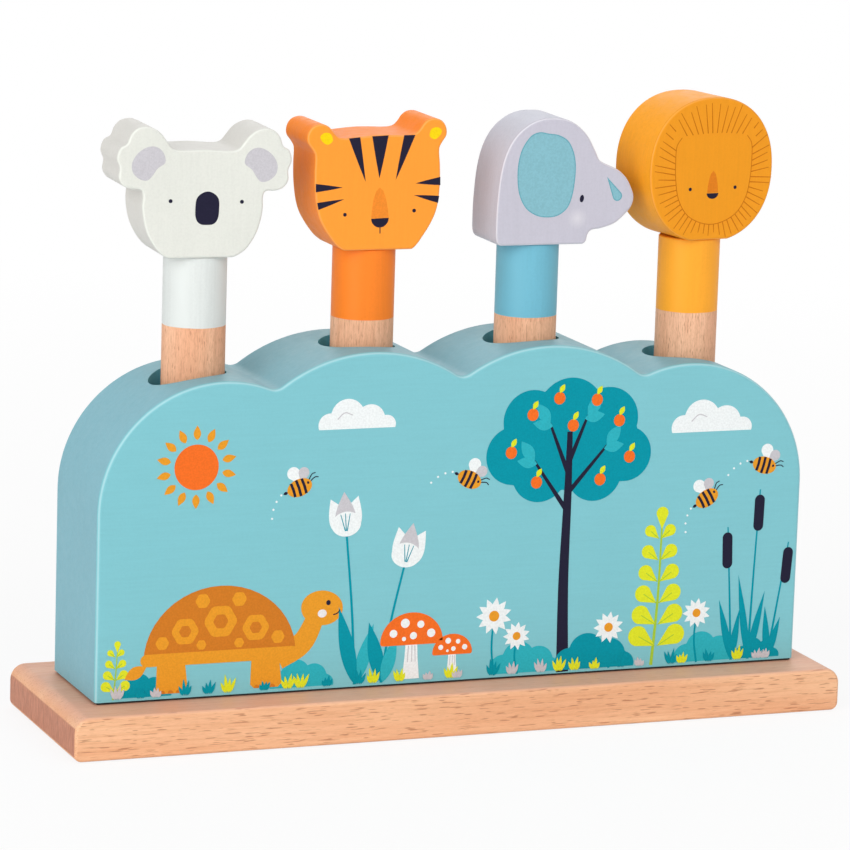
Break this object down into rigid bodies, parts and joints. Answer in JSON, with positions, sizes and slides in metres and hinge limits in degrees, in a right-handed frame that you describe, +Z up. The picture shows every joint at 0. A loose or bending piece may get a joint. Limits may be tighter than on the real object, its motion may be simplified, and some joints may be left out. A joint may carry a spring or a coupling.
{
  "type": "pop up animal toy",
  "caption": "Painted wooden block with humped top on a beech board; round pegs with animal heads stand in its bores on coil springs, press down and pop up, and lift out.",
  "frame": {"origin": "centre of the base board's underside, on the surface it stands on", "axes": "+X along the board towards the lion, +Y to the back (the animals face -Y), +Z up"},
  "size_m": [0.26, 0.0724, 0.1988],
  "materials": {
    "beech": "clear-oiled beech, fine flecks",
    "aqua_paint": "satin paint on wood",
    "steel": "bright zinc",
    "spring_steel": "bright drawn wire",
    "koala_paint": "satin white paint on wood",
    "tiger_paint": "satin orange paint on wood",
    "elephant_paint": "satin grey paint on wood",
    "lion_paint": "satin mustard paint on wood",
    "koala_neck": "beech dowel with a white painted neck",
    "tiger_neck": "beech dowel with an orange painted neck",
    "elephant_neck": "beech dowel with a blue painted neck",
    "lion_neck": "beech dowel with a yellow painted neck"
  },
  "bodies": {
    "root": {"base_board": "beech", "block": "aqua_paint", "block_screws": "steel", "spring_seats": "beech", "seat_screws": "steel"},
    "koala_spring": {"koala_spring": "spring_steel"},
    "koala_peg": {"koala_peg": "koala_neck", "koala_pin": "beech", "koala_head": "koala_paint"},
    "tiger_spring": {"tiger_spring": "spring_steel"},
    "tiger_peg": {"tiger_peg": "tiger_neck", "tiger_pin": "beech", "tiger_head": "tiger_paint"},
    "elephant_spring": {"elephant_spring": "spring_steel"},
    "elephant_peg": {"elephant_peg": "elephant_neck", "elephant_pin": "beech", "elephant_head": "elephant_paint"},
    "lion_spring": {"lion_spring": "spring_steel"},
    "lion_peg": {"lion_peg": "lion_neck", "lion_pin": "beech", "lion_head": "lion_paint"}
  },
  "joints": [
    {"name": "koala_press", "type": "slide", "parent": "root", "child": "koala_spring", "axis": [0, 0, 1], "range_m": [-0.0365, 0], "stiffness_N_per_m": 200, "springref_m": 0.002, "deforming": ["koala_spring"]},
    {"name": "koala_lift", "type": "slide", "parent": "koala_spring", "child": "koala_peg", "axis": [0, 0, 1], "range_m": [0, 0.08]},
    {"name": "tiger_press", "type": "slide", "parent": "root", "child": "tiger_spring", "axis": [0, 0, 1], "range_m": [-0.0299, 0], "stiffness_N_per_m": 200, "springref_m": 0.002, "deforming": ["tiger_spring"]},
    {"name": "tiger_lift", "type": "slide", "parent": "tiger_spring", "child": "tiger_peg", "axis": [0, 0, 1], "range_m": [0, 0.08]},
    {"name": "elephant_press", "type": "slide", "parent": "root", "child": "elephant_spring", "axis": [0, 0, 1], "range_m": [-0.03, 0], "stiffness_N_per_m": 200, "springref_m": 0.002, "deforming": ["elephant_spring"]},
    {"name": "elephant_lift", "type": "slide", "parent": "elephant_spring", "child": "elephant_peg", "axis": [0, 0, 1], "range_m": [0, 0.08]},
    {"name": "lion_press", "type": "slide", "parent": "root", "child": "lion_spring", "axis": [0, 0, 1], "range_m": [-0.0376, 0], "stiffness_N_per_m": 200, "springref_m": 0.002, "deforming": ["lion_spring"]},
    {"name": "lion_lift", "type": "slide", "parent": "lion_spring", "child": "lion_peg", "axis": [0, 0, 1], "range_m": [0, 0.08]}
  ]
}
